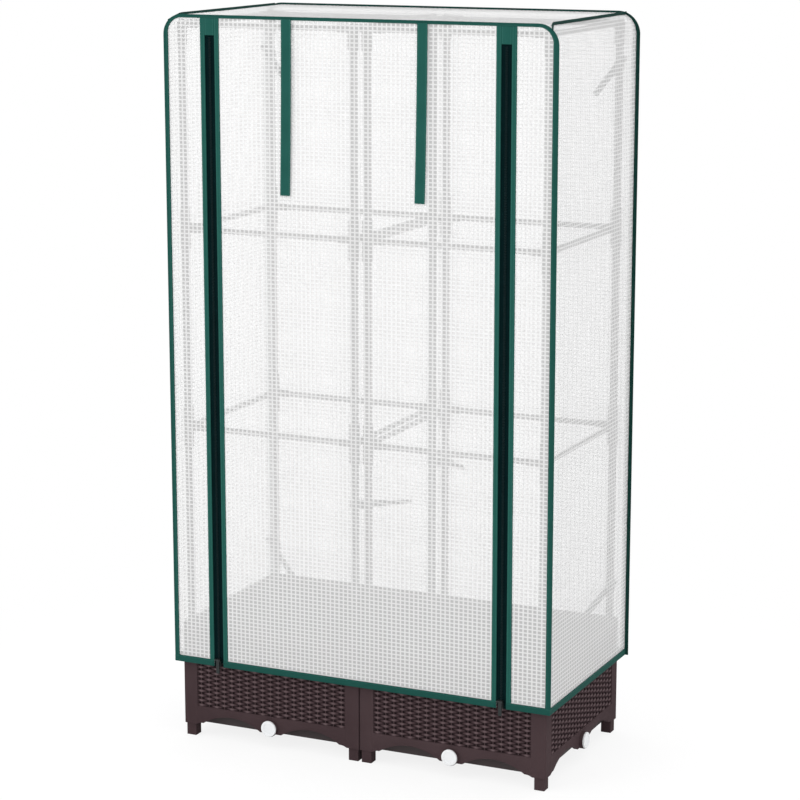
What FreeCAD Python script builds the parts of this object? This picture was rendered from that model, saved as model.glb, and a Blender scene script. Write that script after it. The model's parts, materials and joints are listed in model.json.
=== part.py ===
# Covered planter: two square wicker-look planter boxes side by side, a three-tier tube trellis
# plugged into each, and one zipped mesh cover over both. Millimetres; the origin is on the floor
# under the middle, +X to the right, +Y to the back, +Z up. The front faces -Y.
import FreeCAD
import Part
import Sketcher
import math
import os
from types import SimpleNamespace

SIZES = {
    # planter boxes
    "box_size": 400,
    "box_gap": 1,
    "rim_height": 243,
    "post_size": 28,
    "post_round": 3,
    "foot_size": 21,
    "foot_height": 26,
    "rail_bottom": 30,
    "bottom_rail": 36,
    "top_rail": 24,
    "side_stile": 3,
    "rail_depth": 5,
    "web_thick": 4,
    "tongue_depth": 5,
    "groove_slack": 0.2,
    "stakes": 19,
    "stake_gap": 2,
    "stake_rise": 3.2,
    "arch_inset": 44,
    "arch_span": 132,
    "arch_rise": 20,
    "gusset_wide": 14,
    # water tray, soil grid and drain plugs
    "tray_seat": 80,
    "ledge_depth": 8,
    "ledge_thick": 6,
    "tray_underside": 27,
    "tray_wall": 2.5,
    "tray_slack": 0.5,
    "flange_thick": 3,
    "grid_thick": 3,
    "grid_slots": 11,
    "slot_wide": 8,
    "slot_margin": 30,
    "drain_height": 43,
    "boss_diameter": 35,
    "boss_depth": 7,
    "spigot_diameter": 16,
    "spigot_fit": 0.15,
    "spigot_past_tray": 3,
    "plug_diameter": 33,
    "plug_face": 3.5,
    "plug_round": 1.2,
    "plug_dish": 0.8,
    "plug_dish_diameter": 21,
    # trellis
    "tube_diameter": 16,
    "tube_wall": 1,
    "socket_depth": 55,
    "ring_low": 651,
    "tier_height": 403,
    "bar_diameter": 11,
    "bar_wall": 0.8,
    "joint_fit": 0.15,
    "sleeve_wall": 2,
    "sleeve_length": 80,
    "sleeve_stop": 3,
    "arm_wall": 1.6,
    "arm_reach": 34,
    "arm_socket": 20,
    # ties
    "tie_wide": 10,
    "tie_thick": 1.2,
    "tie_ease": 0.2,
    "tie_above_rim": 57,
    "tie_below_ring": 125,
    "tie_below_top": 82,
    "tie_droop": 52,
    "tie_tail": 100,
    "tie_head": 26,
    "tie_end": 70,
    # cover
    "cover_slack": 15,
    "cloth": 1,
    "shoulder_round": 48,
    "seat_gap": 0.3,
    "hem_height": 161,
    "hem_band": 14,
    "binding_wide": 7,
    "binding_thick": 1.5,
    "binding_wrap": 8,
    "back_fin": 7,
    "shoulder_fin": 6,
    "shoulder_fin_thick": 2.4,
    # zips and door
    "zip_inset": 90,
    "zip_gap": 21,
    "zip_binding": 10,
    "zip_lap": 8,
    "zip_below_top": 38,
    "tape_thick": 0.8,
    "coil_wide": 2.4,
    "coil_proud": 0.8,
    "coil_part": 0.25,
    "slider_wide": 11,
    "slider_tall": 16,
    "slider_plate": 2,
    "slider_play": 0.4,
    "slider_start": 2,
    "bridge_wide": 3,
    "bridge_tall": 5,
    "pin_diameter": 1.8,
    "pin_play": 0.1,
    "eye_wall": 1.2,
    "pull_wide": 7,
    "pull_thick": 1.6,
    "pull_long": 28,
    # roll-up straps
    "strap_inset": 158,
    "strap_wide": 21,
    "strap_thick": 1.5,
    "strap_long": 340,
    "strap_drop": 4,
    "strap_play": 0.3,
}


class Size:
    """A length together with the expression that yields it from the sheet."""

    def __init__(self, value, text):
        self.value = value
        self.text = text

    def __add__(self, other):
        other = as_size(other)
        return Size(self.value + other.value, f"({self.text} + {other.text})")

    def __sub__(self, other):
        other = as_size(other)
        return Size(self.value - other.value, f"({self.text} - {other.text})")

    def __mul__(self, other):
        other = as_size(other)
        return Size(self.value * other.value, f"({self.text} * {other.text})")

    def __truediv__(self, other):
        other = as_size(other)
        return Size(self.value / other.value, f"({self.text} / {other.text})")

    def __neg__(self):
        return Size(-self.value, f"(-1 * {self.text})")

    def root(self):
        return Size(math.sqrt(self.value), f"sqrt({self.text})")


def as_size(amount):
    return amount if isinstance(amount, Size) else Size(amount, repr(amount))


doc = FreeCAD.newDocument("covered_planter")
sheet = doc.addObject("Spreadsheet::Sheet", "sizes")
for row, (alias, amount) in enumerate(SIZES.items(), start=1):
    sheet.set(f"A{row}", alias)
    sheet.set(f"B{row}", str(amount))
    sheet.setAlias(f"B{row}", alias)
doc.recompute()
s = SimpleNamespace(**{alias: Size(amount, f"sizes.{alias}") for alias, amount in SIZES.items()})

# Places that several pieces share.
half_box = s.box_size / 2
half_span = half_box - s.post_size
post_axis = half_box - s.post_size / 2
box_centre = (s.box_size + s.box_gap) / 2
web_depth = s.rail_depth + s.web_thick
field_low = s.rail_bottom + s.bottom_rail
field_high = s.rim_height - s.top_rail
tray_half = half_box - web_depth - s.ledge_depth - s.tray_slack
tray_notch = half_span - s.tray_slack
bore_radius = s.spigot_diameter / 2 + s.spigot_fit
tube_radius = s.tube_diameter / 2
sleeve_bore = tube_radius + s.joint_fit
sleeve_radius = sleeve_bore + s.sleeve_wall
bar_radius = s.bar_diameter / 2
arm_bore = bar_radius + s.joint_fit
ring_middle = s.ring_low + s.tier_height
ring_top = ring_middle + s.tier_height

# The cover hangs clear of the trellis all round, and its shoulders rest on the domed top corners.
half_wide = box_centre + post_axis + sleeve_radius + s.cover_slack
half_deep = post_axis + sleeve_radius + s.cover_slack
inner_round = s.shoulder_round - s.cloth
dome_reach = inner_round - s.seat_gap - sleeve_radius
dome_aside = box_centre + post_axis - half_wide + s.shoulder_round
shoulder_x = half_wide - s.shoulder_round
shoulder_z = ring_top - (dome_reach * dome_reach - dome_aside * dome_aside).root()
cover_top = shoulder_z + s.shoulder_round
band_top = s.hem_height + s.hem_band
binding_low = cover_top - s.binding_wide
zip_outer = half_wide - s.zip_inset
zip_inner = zip_outer - s.zip_gap
zip_centre = zip_outer - s.zip_gap / 2
zip_top = cover_top - s.zip_below_top
front_face = -half_deep
cloth_back = front_face + s.cloth
binding_face = front_face - s.binding_thick
ZERO = as_size(0)


def vector(x, y):
    return FreeCAD.Vector(x.value, y.value, 0)


def bind(thing, prop, amount):
    thing.setExpression(prop, as_size(amount).text)


# Sketches on a body's own planes: front ones look along +Y, floor ones down, side ones along -X.


def new_body(name):
    return doc.addObject("PartDesign::Body", name)


def plane_sketch(body, role, offset):
    sketch = body.newObject("Sketcher::SketchObject", body.Name + "_sketch")
    planes = [feature for feature in body.Origin.OriginFeatures if feature.Role == role]
    sketch.AttachmentSupport = [(planes[0], "")]
    sketch.MapMode = "FlatFace"
    bind(sketch, "AttachmentOffset.Base.z", offset)
    return sketch


def front_sketch(body, y):
    return plane_sketch(body, "XZ_Plane", -y)


def floor_sketch(body, z):
    return plane_sketch(body, "XY_Plane", z)


def side_sketch(body, x):
    return plane_sketch(body, "YZ_Plane", x)


def hold(sketch, kind, amount, *ends):
    index = sketch.addConstraint(Sketcher.Constraint(kind, *ends, float(amount.value)))
    sketch.setExpression(f"Constraints[{index}]", amount.text)


def outline(sketch, corners):
    """A closed loop through the corners. A third item (centre x, centre y, radius) starts an arc."""
    first = sketch.GeometryCount
    count = len(corners)
    points = [vector(corner[0], corner[1]) for corner in corners]
    for i, corner in enumerate(corners):
        start, end = points[i], points[(i + 1) % count]
        if len(corner) == 3:
            centre = vector(corner[2][0], corner[2][1])
            spoke = (start - centre) + (end - centre)
            middle = centre + spoke * (corner[2][2].value / spoke.Length)
            sketch.addGeometry(Part.Arc(start, middle, end), False)
        else:
            sketch.addGeometry(Part.LineSegment(start, end), False)

    def end_at(edge, point):
        return 1 if sketch.getPoint(edge, 1).distanceToPoint(point) < 1e-6 else 2

    for i in range(count):
        edge, after = first + i, first + (i + 1) % count
        point = points[(i + 1) % count]
        joined = (edge, end_at(edge, point), after, end_at(after, point))
        sketch.addConstraint(Sketcher.Constraint("Coincident", *joined))
    for i, corner in enumerate(corners):
        edge = first + i
        start = end_at(edge, points[i])
        hold(sketch, "DistanceX", corner[0], -1, 1, edge, start)
        hold(sketch, "DistanceY", corner[1], -1, 1, edge, start)
        if len(corner) == 3:
            hold(sketch, "Radius", corner[2][2], edge)


def rectangle(sketch, x_low, y_low, x_high, y_high):
    outline(sketch, [(x_low, y_low), (x_high, y_low), (x_high, y_high), (x_low, y_high)])


def circle(sketch, x, y, radius):
    edge = sketch.addGeometry(Part.Circle(vector(x, y), FreeCAD.Vector(0, 0, 1), radius.value), False)
    hold(sketch, "DistanceX", x, -1, 1, edge, 3)
    hold(sketch, "DistanceY", y, -1, 1, edge, 3)
    hold(sketch, "Radius", radius, edge)


def pad(body, sketch, length, backwards=False):
    made = body.newObject("PartDesign::Pad", body.Name + "_pad")
    made.Profile = sketch
    made.Reversed = backwards
    bind(made, "Length", length)
    return made


def pocket(body, sketch, length, backwards=False):
    doc.recompute()
    before = body.Shape.Volume
    made = body.newObject("PartDesign::Pocket", body.Name + "_pocket")
    made.Profile = sketch
    made.Reversed = backwards
    bind(made, "Length", length)
    doc.recompute()
    if body.Shape.Volume > before - 1e-3:
        raise RuntimeError(f"a pocket of {body.Name} cuts nothing")
    return made


def row_of(body, feature, sketch, axis, length, count):
    made = body.newObject("PartDesign::LinearPattern", body.Name + "_row")
    made.Originals = [feature]
    made.Direction = (sketch, [axis])
    bind(made, "Length", length)
    bind(made, "Occurrences", count)
    body.Tip = made
    return made


def revolve(body, sketch, axis):
    made = body.newObject("PartDesign::Revolution", body.Name + "_turn")
    made.Profile = sketch
    made.ReferenceAxis = (sketch, [axis])
    made.Angle = 360
    return made


# Plain solids, copies and nodes.


def box(name, low, high):
    made = doc.addObject("Part::Box", name)
    for prop, axis, start, end in zip(("Length", "Width", "Height"), "xyz", low, high):
        bind(made, prop, end - start)
        bind(made, f"Placement.Base.{axis}", start)
    return made


def rod_along_x(name, radius, x_low, x_high, y, z):
    made = doc.addObject("Part::Cylinder", name)
    bind(made, "Radius", radius)
    bind(made, "Height", x_high - x_low)
    made.Placement.Rotation = FreeCAD.Rotation(FreeCAD.Vector(0, 1, 0), 90)
    for axis, amount in zip("xyz", (x_low, y, z)):
        bind(made, f"Placement.Base.{axis}", amount)
    return made


def fuse(name, pieces):
    made = doc.addObject("Part::MultiFuse", name)
    made.Shapes = pieces
    made.Refine = True
    return made


def copy(master, x=ZERO, y=ZERO, z=ZERO, turn=0):
    made = doc.addObject("App::Link", master.Name + "_copy")
    made.LinkedObject = master
    made.Placement.Rotation = FreeCAD.Rotation(FreeCAD.Vector(0, 0, 1), turn)
    for axis, amount in zip("xyz", (x, y, z)):
        bind(made, f"Placement.Base.{axis}", amount)
    return made


def mirrored(master):
    made = doc.addObject("Part::Mirroring", master.Name + "_mirrored")
    made.Source = master
    made.Normal = FreeCAD.Vector(1, 0, 0)
    return made


nodes = []


def node(name, *pieces):
    made = doc.addObject("Part::Compound", name + "_node")
    made.Links = list(pieces)
    made.Label = name
    nodes.append(made)


def at_corners(master, x, z):
    """Four copies on the post axes of the box at x, turned so that the first faces front left."""
    near, far = -post_axis, post_axis
    places = ((near, near), (far, near), (far, far), (near, far))
    return [copy(master, x + dx, dy, z, 90 * k) for k, (dx, dy) in enumerate(places)]


# Planter box pieces, each modelled about the middle of its own box.


def side_panel(name, drained):
    """The front panel: a tongued web, rails round a field of stakes, arches, gussets and a tray ledge."""
    body = new_body(name)
    face = -half_box
    web_face = face + s.rail_depth
    web_back = face + web_depth
    field_half = half_span - s.side_stile
    reach = half_span + s.tongue_depth
    web = front_sketch(body, web_back)
    rectangle(web, -reach, s.rail_bottom, reach, s.rim_height)
    pad(body, web, s.web_thick)
    rails = front_sketch(body, web_face)
    rectangle(rails, -half_span, s.rail_bottom, half_span, s.rim_height)
    rectangle(rails, -field_half, field_low, field_half, field_high)
    pad(body, rails, s.rail_depth)
    ledge = front_sketch(body, web_back + s.ledge_depth)
    rectangle(ledge, -half_span, s.tray_seat - s.ledge_thick, half_span, s.tray_seat)
    pad(body, ledge, s.ledge_depth)
    drop = s.rail_bottom - s.foot_height
    radius = (s.gusset_wide * s.gusset_wide + drop * drop) / (drop * 2)
    gussets = front_sketch(body, web_back)
    for end, near in ((-half_span, s.gusset_wide - half_span), (half_span, half_span - s.gusset_wide)):
        curve = (near, s.rail_bottom - radius, radius)
        outline(gussets, [(end, s.foot_height, curve), (near, s.rail_bottom), (end, s.rail_bottom)])
    pad(body, gussets, web_depth)
    if drained:
        boss = front_sketch(body, face)
        circle(boss, ZERO, s.drain_height, s.boss_diameter / 2)
        pad(body, boss, s.boss_depth)
        bore = front_sketch(body, face - s.boss_depth)
        circle(bore, ZERO, s.drain_height, bore_radius)
        pocket(body, bore, s.boss_depth + web_depth)
    arches = front_sketch(body, face)
    half_arch = s.arch_span / 2
    radius = (half_arch * half_arch + s.arch_rise * s.arch_rise) / (s.arch_rise * 2)
    start = s.arch_inset - half_box
    for left in (start, -start - s.arch_span):
        centre = (left + half_arch, s.rail_bottom + s.arch_rise - radius, radius)
        outline(arches, [(left, s.rail_bottom), (left + s.arch_span, s.rail_bottom, centre)])
    pocket(body, arches, web_depth)
    pitch = field_half * 2 / s.stakes
    half_stake = (pitch - s.stake_gap) / 2
    radius = (half_stake * half_stake + s.stake_rise * s.stake_rise) / (s.stake_rise * 2)
    middle = pitch / 2 - field_half
    stake = floor_sketch(body, field_low)
    centre = (middle, web_face - s.stake_rise + radius, radius)
    outline(stake, [(middle - half_stake, web_face), (middle + half_stake, web_face, centre)])
    first = pad(body, stake, field_high - field_low)
    row_of(body, first, stake, "H_Axis", pitch * (s.stakes - 1), s.stakes)
    return body


def corner_post():
    """A moulded post about its own axis, outer corner at front left, on a foot that steps in."""
    body = new_body("corner_post")
    half = s.post_size / 2
    turn = s.post_round - half
    column = floor_sketch(body, s.foot_height)
    rounded = (-half, turn, (turn, turn, s.post_round))
    outline(column, [(turn, -half), (half, -half), (half, half), (-half, half), rounded])
    pad(body, column, s.rim_height - s.foot_height)
    foot = floor_sketch(body, ZERO)
    half_foot = s.foot_size / 2
    rectangle(foot, -half_foot, -half_foot, half_foot, half_foot)
    pad(body, foot, s.foot_height)
    grooves = floor_sketch(body, s.rim_height)
    deep = half - s.tongue_depth - s.groove_slack
    near = s.rail_depth - half - s.groove_slack
    far = web_depth - half + s.groove_slack
    rectangle(grooves, deep, near, half, far)
    rectangle(grooves, near, deep, far, half)
    pocket(body, grooves, s.rim_height - s.rail_bottom)
    socket = floor_sketch(body, s.rim_height)
    circle(socket, ZERO, ZERO, sleeve_bore)
    pocket(body, socket, s.socket_depth)
    return body


def notched(sketch, half, notch):
    """A square whose corners are cut back to let the posts through."""
    quarter = [(-half, -notch), (-notch, -notch), (-notch, -half)]
    corners = list(quarter)
    for _ in range(3):
        quarter = [(-y, x) for x, y in quarter]
        corners += quarter
    outline(sketch, corners)


def water_tray():
    """A pan in two welded parts: a base plate, and walls whose flange hangs on the panels' ledges."""
    inside = tray_half - s.tray_wall
    inside_notch = tray_notch - s.tray_wall
    floor = s.tray_underside + s.tray_wall
    base = new_body("tray_base")
    plate = floor_sketch(base, s.tray_underside)
    notched(plate, tray_half, tray_notch)
    pad(base, plate, s.tray_wall)
    walls = new_body("tray_walls")
    ring = floor_sketch(walls, floor)
    notched(ring, tray_half, tray_notch)
    pad(walls, ring, s.tray_seat - floor)
    flange = floor_sketch(walls, s.tray_seat)
    notched(flange, tray_half + s.ledge_depth, tray_notch)
    pad(walls, flange, s.flange_thick)
    hollow = floor_sketch(walls, s.tray_seat + s.flange_thick)
    notched(hollow, inside, inside_notch)
    pocket(walls, hollow, s.tray_seat + s.flange_thick - floor)
    through = front_sketch(walls, -tray_half)
    circle(through, ZERO, s.drain_height, bore_radius)
    pocket(walls, through, tray_half * 2)
    outer = side_sketch(walls, -tray_half)
    circle(outer, ZERO, s.drain_height, bore_radius)
    pocket(walls, outer, s.tray_wall, backwards=True)
    return base, walls


def soil_grid():
    """A slotted plate on the tray's flange, which keeps the soil out of the water."""
    body = new_body("soil_grid")
    low = s.tray_seat + s.flange_thick
    plate = floor_sketch(body, low)
    notched(plate, tray_half + s.ledge_depth - s.tray_slack, tray_notch)
    pad(body, plate, s.grid_thick)
    half_slot = tray_notch - s.slot_margin
    slot = floor_sketch(body, low + s.grid_thick)
    rectangle(slot, -half_slot, -half_slot, s.slot_wide - half_slot, half_slot)
    first = pocket(body, slot, s.grid_thick)
    row_of(body, first, slot, "H_Axis", half_slot * 2 - s.slot_wide, s.grid_slots)
    return body


def drain_plug():
    """A turned plug on the front face: dished head on the boss, spigot through panel and tray wall."""
    body = new_body("drain_plug")
    back = -half_box - s.boss_depth
    front = back - s.plug_face
    tip = s.tray_wall + s.spigot_past_tray - tray_half
    head = s.plug_diameter / 2
    dish = s.plug_dish_diameter / 2
    spigot = s.spigot_diameter / 2
    turn = s.plug_round
    profile = floor_sketch(body, ZERO)
    rounded = (head - turn, front, (head - turn, front + turn, turn))
    outline(profile, [
        (ZERO, front + s.plug_dish), (dish, front + s.plug_dish), (dish + s.plug_dish, front),
        rounded, (head, front + turn), (head, back), (spigot, back),
        (spigot, tip - turn), (spigot - turn, tip), (ZERO, tip),
    ])
    revolve(body, profile, "V_Axis")
    return body


# Trellis pieces.


def tube(name, length):
    body = new_body(name)
    ring = floor_sketch(body, ZERO)
    circle(ring, ZERO, ZERO, tube_radius)
    circle(ring, ZERO, ZERO, tube_radius - s.tube_wall)
    pad(body, ring, length)
    return body


def cross_bar():
    body = new_body("cross_bar")
    half = post_axis - s.arm_reach + s.arm_socket
    ring = side_sketch(body, -half)
    circle(ring, ZERO, ZERO, bar_radius)
    circle(ring, ZERO, ZERO, bar_radius - s.bar_wall)
    pad(body, ring, half * 2)
    return body


def add_arms(body):
    """Two sockets for cross bars, along +X and +Y."""
    arm = arm_bore + s.arm_wall
    along_x = side_sketch(body, ZERO)
    circle(along_x, ZERO, ZERO, arm)
    pad(body, along_x, s.arm_reach)
    along_y = front_sketch(body, ZERO)
    circle(along_y, ZERO, ZERO, arm)
    pad(body, along_y, s.arm_reach, backwards=True)
    bore_x = side_sketch(body, s.arm_reach)
    circle(bore_x, ZERO, ZERO, arm_bore)
    pocket(body, bore_x, s.arm_socket)
    bore_y = front_sketch(body, s.arm_reach)
    circle(bore_y, ZERO, ZERO, arm_bore)
    pocket(body, bore_y, s.arm_socket, backwards=True)


def tee_connector():
    """A sleeve that takes a tube from below and one from above, against a stop."""
    body = new_body("tee_connector")
    half = s.sleeve_length / 2
    sleeve = floor_sketch(body, -half)
    circle(sleeve, ZERO, ZERO, sleeve_radius)
    pad(body, sleeve, s.sleeve_length)
    add_arms(body)
    depth = half - s.sleeve_stop / 2
    upper = floor_sketch(body, half)
    circle(upper, ZERO, ZERO, sleeve_bore)
    pocket(body, upper, depth)
    lower = floor_sketch(body, -half)
    circle(lower, ZERO, ZERO, sleeve_bore)
    pocket(body, lower, depth, backwards=True)
    return body


def top_connector():
    """A sleeve closed by a dome, on which the cover's shoulder rests."""
    body = new_body("top_connector")
    half = s.sleeve_length / 2
    profile = front_sketch(body, ZERO)
    domed = (sleeve_radius, ZERO, (ZERO, ZERO, sleeve_radius))
    outline(profile, [(ZERO, -half), (sleeve_radius, -half), domed, (ZERO, sleeve_radius)])
    revolve(body, profile, "V_Axis")
    add_arms(body)
    lower = floor_sketch(body, -half)
    circle(lower, ZERO, ZERO, sleeve_bore)
    pocket(body, lower, half - s.sleeve_stop / 2, backwards=True)
    return body


def corner_tie():
    """A strap looped round a back post, its ends crossing in front of the post on a slant."""
    loop = new_body("tie_loop")
    inner = tube_radius + s.tie_ease
    ring = floor_sketch(loop, -s.tie_wide / 2)
    circle(ring, ZERO, ZERO, inner)
    circle(ring, ZERO, ZERO, inner + s.tie_thick)
    pad(loop, ring, s.tie_wide)
    tail = doc.addObject("Part::Box", "tie_tail_strip")
    bind(tail, "Length", s.tie_tail)
    bind(tail, "Width", s.tie_thick)
    bind(tail, "Height", s.tie_wide)
    tail.Placement.Rotation = FreeCAD.Rotation(FreeCAD.Vector(0, 1, 0), SIZES["tie_droop"])
    bind(tail, "Placement.Rotation.Angle", s.tie_droop)
    head, droop = s.tie_head, s.tie_droop
    turn = math.radians(droop.value)
    across = Size(head.value * math.cos(turn), f"({head.text} * cos({droop.text}))")
    upward = Size(head.value * math.sin(turn), f"({head.text} * sin({droop.text}))")
    bind(tail, "Placement.Base.x", -across)
    bind(tail, "Placement.Base.y", -(inner + s.tie_thick + s.tie_ease))
    bind(tail, "Placement.Base.z", upward)
    return fuse("corner_tie", [loop, tail])


def centre_tie():
    """A strap round the two posts where the boxes meet, with a loose end to the right."""
    body = new_body("centre_tie")
    inner = tube_radius + s.tie_ease
    outer = inner + s.tie_thick
    reach = box_centre - post_axis
    band = floor_sketch(body, -s.tie_wide / 2)
    for r in (inner, outer):
        right = (reach, ZERO, r)
        left = (-reach, ZERO, r)
        outline(band, [
            (-reach, -r), (reach, -r, right), (reach + r, ZERO, right),
            (reach, r), (-reach, r, left), (-reach - r, ZERO, left),
        ])
    pad(body, band, s.tie_wide)
    end = floor_sketch(body, -s.tie_wide / 2)
    rectangle(end, reach, outer - s.tie_thick / 2, reach + s.tie_end, outer + s.tie_thick / 2)
    pad(body, end, s.tie_wide)
    return body


# Cover pieces. The left ones are modelled and the right ones mirrored.


def cloth_outline(sketch, low, out):
    """The cover's front outline, pushed out by a margin: straight sides, round shoulders, flat top."""
    radius = s.shoulder_round + out
    x, top = half_wide + out, cover_top + out
    outline(sketch, [
        (-x, low), (x, low), (x, shoulder_z, (shoulder_x, shoulder_z, radius)), (shoulder_x, top),
        (-shoulder_x, top, (-shoulder_x, shoulder_z, radius)), (-x, shoulder_z),
    ])


def back_sheet():
    body = new_body("back_sheet")
    sketch = front_sketch(body, half_deep)
    cloth_outline(sketch, s.hem_height, ZERO)
    pad(body, sketch, s.cloth)
    return body


def front_strip():
    """The fixed strip left of the left zip."""
    body = new_body("front_strip")
    sketch = front_sketch(body, cloth_back)
    centre = (-shoulder_x, shoulder_z, s.shoulder_round)
    outline(sketch, [
        (-half_wide, s.hem_height), (-zip_outer, s.hem_height), (-zip_outer, cover_top),
        (-shoulder_x, cover_top, centre), (-half_wide, shoulder_z),
    ])
    pad(body, sketch, s.cloth)
    return body


def seam_point(radius):
    """Where the left shoulder's seam crosses a radius, half way round the shoulder."""
    lean = radius * Size(math.sqrt(0.5), "sqrt(0.5)")
    return (-shoulder_x - lean, shoulder_z + lean)


def side_sheet():
    """The left side up to the shoulder seam."""
    body = new_body("side_sheet")
    inner_x = s.cloth - half_wide
    outer_seam = seam_point(s.shoulder_round)
    inner_seam = seam_point(inner_round)
    sketch = front_sketch(body, -cloth_back)
    outline(sketch, [
        (-half_wide, s.hem_height), (inner_x, s.hem_height),
        (inner_x, shoulder_z, (-shoulder_x, shoulder_z, inner_round)), inner_seam,
        (*outer_seam, (-shoulder_x, shoulder_z, s.shoulder_round)), (-half_wide, shoulder_z),
    ])
    pad(body, sketch, -cloth_back * 2)
    return body


def top_sheet():
    """The top between the two shoulder seams."""
    body = new_body("top_sheet")
    x, y = seam_point(s.shoulder_round)
    inner_x, inner_y = seam_point(inner_round)
    under = cover_top - s.cloth
    left = (-shoulder_x, shoulder_z)
    right = (shoulder_x, shoulder_z)
    sketch = front_sketch(body, -cloth_back)
    outline(sketch, [
        (x, y, (*left, s.shoulder_round)), (-shoulder_x, cover_top),
        (shoulder_x, cover_top, (*right, s.shoulder_round)), (-x, y),
        (-inner_x, inner_y, (*right, inner_round)), (shoulder_x, under),
        (-shoulder_x, under, (*left, inner_round)), (inner_x, inner_y),
    ])
    pad(body, sketch, -cloth_back * 2)
    return body


def arch_ring(sketch, out, inward):
    """A band along the sides, shoulders and top, between two margins from the cloth's outline."""
    corners = []
    for margin in (out, -inward):
        x, top = half_wide + margin, cover_top + margin
        radius = s.shoulder_round + margin
        corners.append([
            (-x, band_top), (-x, shoulder_z, (-shoulder_x, shoulder_z, radius)), (-shoulder_x, top),
            (shoulder_x, top, (shoulder_x, shoulder_z, radius)), (x, shoulder_z), (x, band_top),
        ])
    outer, inner = corners
    back = [(x, y) for x, y, *_ in reversed(inner)]
    arcs = [inner[3][2], inner[1][2]]
    back[1] = (*back[1], arcs[0])
    back[3] = (*back[3], arcs[1])
    outline(sketch, outer + back)


def front_tape():
    """Tape folded over the front edge: a flat band on the front and a narrow one round the side."""
    body = new_body("front_tape")
    flat = front_sketch(body, front_face)
    arch_ring(flat, s.binding_thick, s.binding_wide)
    pad(body, flat, s.binding_thick)
    wrap = front_sketch(body, front_face + s.binding_wrap)
    arch_ring(wrap, s.binding_thick, ZERO)
    pad(body, wrap, s.binding_wrap)
    return body


def back_tape():
    """Tape round the back sheet, whose bound seam stands out from the sides and the top."""
    body = new_body("back_tape")
    flat = front_sketch(body, half_deep + s.binding_thick)
    arch_ring(flat, s.back_fin, s.binding_wide)
    pad(body, flat, s.binding_thick)
    return body


def shoulder_binding():
    """The left shoulder's bound seam: a fin along the shoulder that runs on over the front tape."""
    body = new_body("shoulder_binding")
    slant = Size(math.sqrt(0.5), "sqrt(0.5)")
    aside = s.shoulder_fin_thick / 2 * slant

    def strip(low, high, front):
        sketch = front_sketch(body, half_deep)
        low_x, low_y = seam_point(s.shoulder_round + low)
        high_x, high_y = seam_point(s.shoulder_round + high)
        outline(sketch, [
            (low_x - aside, low_y - aside), (low_x + aside, low_y + aside),
            (high_x + aside, high_y + aside), (high_x - aside, high_y - aside),
        ])
        pad(body, sketch, half_deep - front)

    strip(ZERO, s.binding_thick, front_face + s.binding_wrap)
    strip(s.binding_thick, s.shoulder_fin, binding_face)
    return body


def hem_tape():
    """Tape round the lower edge, from one zip round the back to the other."""
    body = new_body("hem_tape")
    x, y = half_wide + s.binding_thick, half_deep + s.binding_thick
    sketch = floor_sketch(body, s.hem_height)
    outline(sketch, [
        (-zip_outer, front_face), (-half_wide, front_face), (-half_wide, half_deep), (half_wide, half_deep),
        (half_wide, front_face), (zip_outer, front_face), (zip_outer, -y), (x, -y), (x, y), (-x, y),
        (-x, -y), (-zip_outer, -y),
    ])
    pad(body, sketch, s.hem_band)
    return body


def zip_half(name, outer_side, low):
    """One half of the left zip: a tape behind the cloth's edge with a coil along the middle."""
    body = new_body(name)
    side = -1 if outer_side else 1
    near = s.coil_part
    far = s.zip_gap / 2 + s.zip_lap
    coil = s.coil_part + s.coil_wide
    tape = front_sketch(body, cloth_back + s.tape_thick)
    ends = sorted((-zip_centre + near * side, -zip_centre + far * side), key=lambda edge: edge.value)
    rectangle(tape, ends[0], low, ends[1], zip_top)
    pad(body, tape, s.tape_thick)
    chain = front_sketch(body, cloth_back)
    ends = sorted((-zip_centre + near * side, -zip_centre + coil * side), key=lambda edge: edge.value)
    rectangle(chain, ends[0], low, ends[1], zip_top)
    pad(body, chain, s.cloth + s.coil_proud)
    return body


slider_low = s.hem_height + s.slider_start
slider_high = slider_low + s.slider_tall
plate_back = front_face - s.coil_proud - s.slider_play
plate_face = plate_back - s.slider_plate
eye_radius = s.pin_diameter / 2 + s.pin_play + s.eye_wall
pin_y = plate_face - eye_radius - s.slider_play
pin_z = slider_high - eye_radius - s.slider_play


def zip_slider():
    """The left slider: a plate each side of the coil, a bridge at the door side, and a pin in lugs."""
    left, right = -zip_centre - s.slider_wide / 2, -zip_centre + s.slider_wide / 2
    behind = cloth_back + s.tape_thick + s.slider_play
    lug = (s.slider_wide - s.pull_wide) / 2 - s.slider_play
    bridge = -zip_centre + s.coil_part
    front = box("slider_front", (left, plate_face, slider_low), (right, plate_back, slider_high))
    back = box("slider_back", (left, behind, slider_low), (right, behind + s.slider_plate, slider_high))
    neck_end = (bridge + s.bridge_wide, behind, slider_low + s.bridge_tall)
    neck = box("slider_bridge", (bridge, plate_back, slider_low), neck_end)
    lugs = []
    for name, start in (("slider_lug_left", left), ("slider_lug_right", right - lug)):
        low = (start, pin_y - eye_radius, pin_z - eye_radius)
        lugs.append(box(name, low, (start + lug, plate_face, slider_high)))
    pin = rod_along_x("slider_pin", s.pin_diameter / 2, left + lug / 2, right - lug / 2, pin_y, pin_z)
    return fuse("zip_slider", [front, back, neck, *lugs, pin])


def zip_pull():
    """The left pull: a flat tab hung by an eye on the slider's pin."""
    body = new_body("zip_pull")
    half = s.pull_wide / 2
    eye = side_sketch(body, -zip_centre - half)
    circle(eye, pin_y, pin_z, eye_radius)
    pad(body, eye, s.pull_wide)
    tab = front_sketch(body, pin_y + s.pull_thick / 2)
    rectangle(tab, -zip_centre - half, pin_z - s.pull_long, -zip_centre + half, pin_z)
    pad(body, tab, s.pull_thick)
    hole = side_sketch(body, -zip_centre - half)
    circle(hole, pin_y, pin_z, s.pin_diameter / 2 + s.pin_play)
    pocket(body, hole, s.pull_wide, backwards=True)
    return body


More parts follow.
